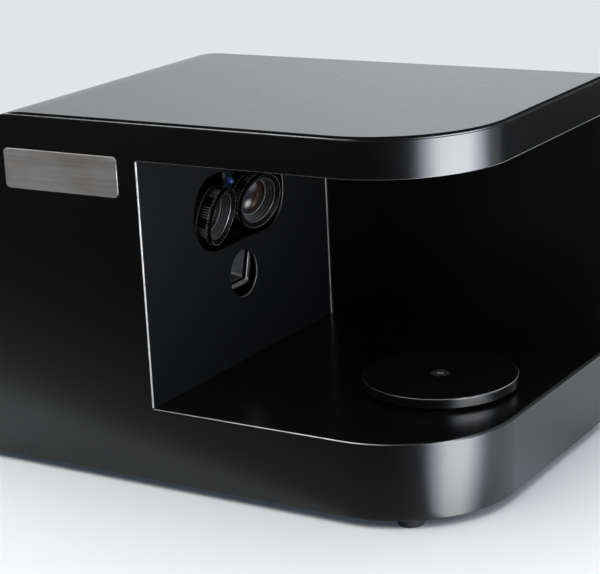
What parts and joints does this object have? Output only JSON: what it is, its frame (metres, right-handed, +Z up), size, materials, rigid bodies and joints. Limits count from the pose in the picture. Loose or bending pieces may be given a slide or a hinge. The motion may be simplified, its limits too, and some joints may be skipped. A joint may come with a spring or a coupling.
{
  "type": "desktop 3d scanner",
  "caption": "Desktop 3-D scanner: C-shaped black sheet-metal housing around an open bay, with a motor-driven turntable facing two convergent lenses over a light projector",
  "frame": {"origin": "centre of the footprint, on the plane of the feet's undersides", "axes": "+X to the right, towards the open end of the bay; +Y to the back; +Z up"},
  "size_m": [0.374, 0.227, 0.2395],
  "materials": {
    "bare_aluminium": "brushed",
    "belt_rubber": "toothed belt",
    "black_anodised": "black anodised",
    "black_plastic": "moulded plastic",
    "black_satin_paint": "satin black powder coat",
    "blue_lamp": "lit blue lamp",
    "board_green": "circuit board",
    "coated_glass": "coated lens glass",
    "rubber": "moulded rubber",
    "steel": "turned steel",
    "window_glass": "flat glass",
    "zinc_steel": "plated steel"
  },
  "bodies": {
    "housing": {"back_panel": "black_satin_paint", "base_pan": "black_satin_paint", "bay_ceiling": "black_satin_paint", "bay_floor": "black_satin_paint", "bearing_housing": "bare_aluminium", "board_standoffs": "zinc_steel", "control_board": "board_green", "drive_belt": "belt_rubber", "drive_screws": "zinc_steel", "fan_housing": "black_plastic", "foot_front_left": "rubber", "foot_front_right": "rubber", "foot_rear_left": "rubber", "foot_rear_right": "rubber", "foot_screws": "zinc_steel", "front_bench_leg": "black_anodised", "front_camera": "black_anodised", "front_camera_wedge": "black_anodised", "front_housing": "black_satin_paint", "front_lens_barrel": "black_anodised", "front_lens_glass": "coated_glass", "lamp_bracket": "black_anodised", "lower_bearing": "steel", "motor_bracket": "zinc_steel", "nameplate": "bare_aluminium", "optics_panel": "black_satin_paint", "optics_shelf": "black_anodised", "power_inlet": "black_plastic", "power_supply": "zinc_steel", "projector_bezel": "bare_aluminium", "projector_body": "black_anodised", "projector_hanger": "zinc_steel", "projector_lens": "black_anodised", "projector_window": "window_glass", "rear_bench_leg": "black_anodised", "rear_camera": "black_anodised", "rear_camera_wedge": "black_anodised", "rear_cover": "black_satin_paint", "rear_cover_screws": "zinc_steel", "rear_lens_barrel": "black_anodised", "rear_lens_glass": "coated_glass", "status_lamp": "blue_lamp", "stepper_motor": "black_anodised", "switch_frame": "black_plastic", "top_cover": "black_satin_paint", "upper_bearing": "steel", "usb_socket": "zinc_steel"},
    "turntable": {"turntable_disc": "black_anodised", "disc_screw": "zinc_steel", "turntable_spindle": "steel", "driven_pulley": "bare_aluminium"},
    "motor_rotor": {"motor_shaft": "steel", "motor_pulley": "bare_aluminium"},
    "front_focus": {"front_focus_ring": "black_anodised"},
    "front_iris": {"front_iris_ring": "black_anodised"},
    "rear_focus": {"rear_focus_ring": "black_anodised"},
    "rear_iris": {"rear_iris_ring": "black_anodised"},
    "fan_rotor_body": {"fan_rotor": "black_plastic"},
    "switch_rocker_body": {"switch_rocker": "black_plastic"}
  },
  "joints": [
    {"name": "turntable_turn", "type": "hinge", "parent": "housing", "child": "turntable", "pos_m": [0.1195, -0.001, 0.0571], "axis": [0, 0, 1], "continuous": true},
    {"name": "motor_turn", "type": "hinge", "parent": "housing", "child": "motor_rotor", "pos_m": [0.0455, -0.001, 0.02], "axis": [0, 0, 1], "continuous": true},
    {"name": "front_focus_turn", "type": "hinge", "parent": "housing", "child": "front_focus", "pos_m": [-0.0247, -0.0238, 0.1583], "axis": [0.9593, 0.1709, -0.225], "range_deg": [-60, 60]},
    {"name": "front_iris_turn", "type": "hinge", "parent": "housing", "child": "front_iris", "pos_m": [-0.0247, -0.0238, 0.1583], "axis": [0.9593, 0.1709, -0.225], "range_deg": [-30, 30]},
    {"name": "rear_focus_turn", "type": "hinge", "parent": "housing", "child": "rear_focus", "pos_m": [-0.0247, 0.0218, 0.1583], "axis": [0.9593, -0.1709, -0.225], "range_deg": [-60, 60]},
    {"name": "rear_iris_turn", "type": "hinge", "parent": "housing", "child": "rear_iris", "pos_m": [-0.0247, 0.0218, 0.1583], "axis": [0.9593, -0.1709, -0.225], "range_deg": [-30, 30]},
    {"name": "fan_turn", "type": "hinge", "parent": "housing", "child": "fan_rotor_body", "pos_m": [-0.10675, 0.0975, 0.1455], "axis": [0, 1, 0], "continuous": true},
    {"name": "switch_turn", "type": "hinge", "parent": "housing", "child": "switch_rocker_body", "pos_m": [-0.09925, 0.1085, 0.0555], "axis": [0, 0, 1], "range_deg": [0, 16]}
  ],
  "couplings": [
    {"joint": "motor_turn", "follows": "turntable_turn", "ratio": 4}
  ]
}
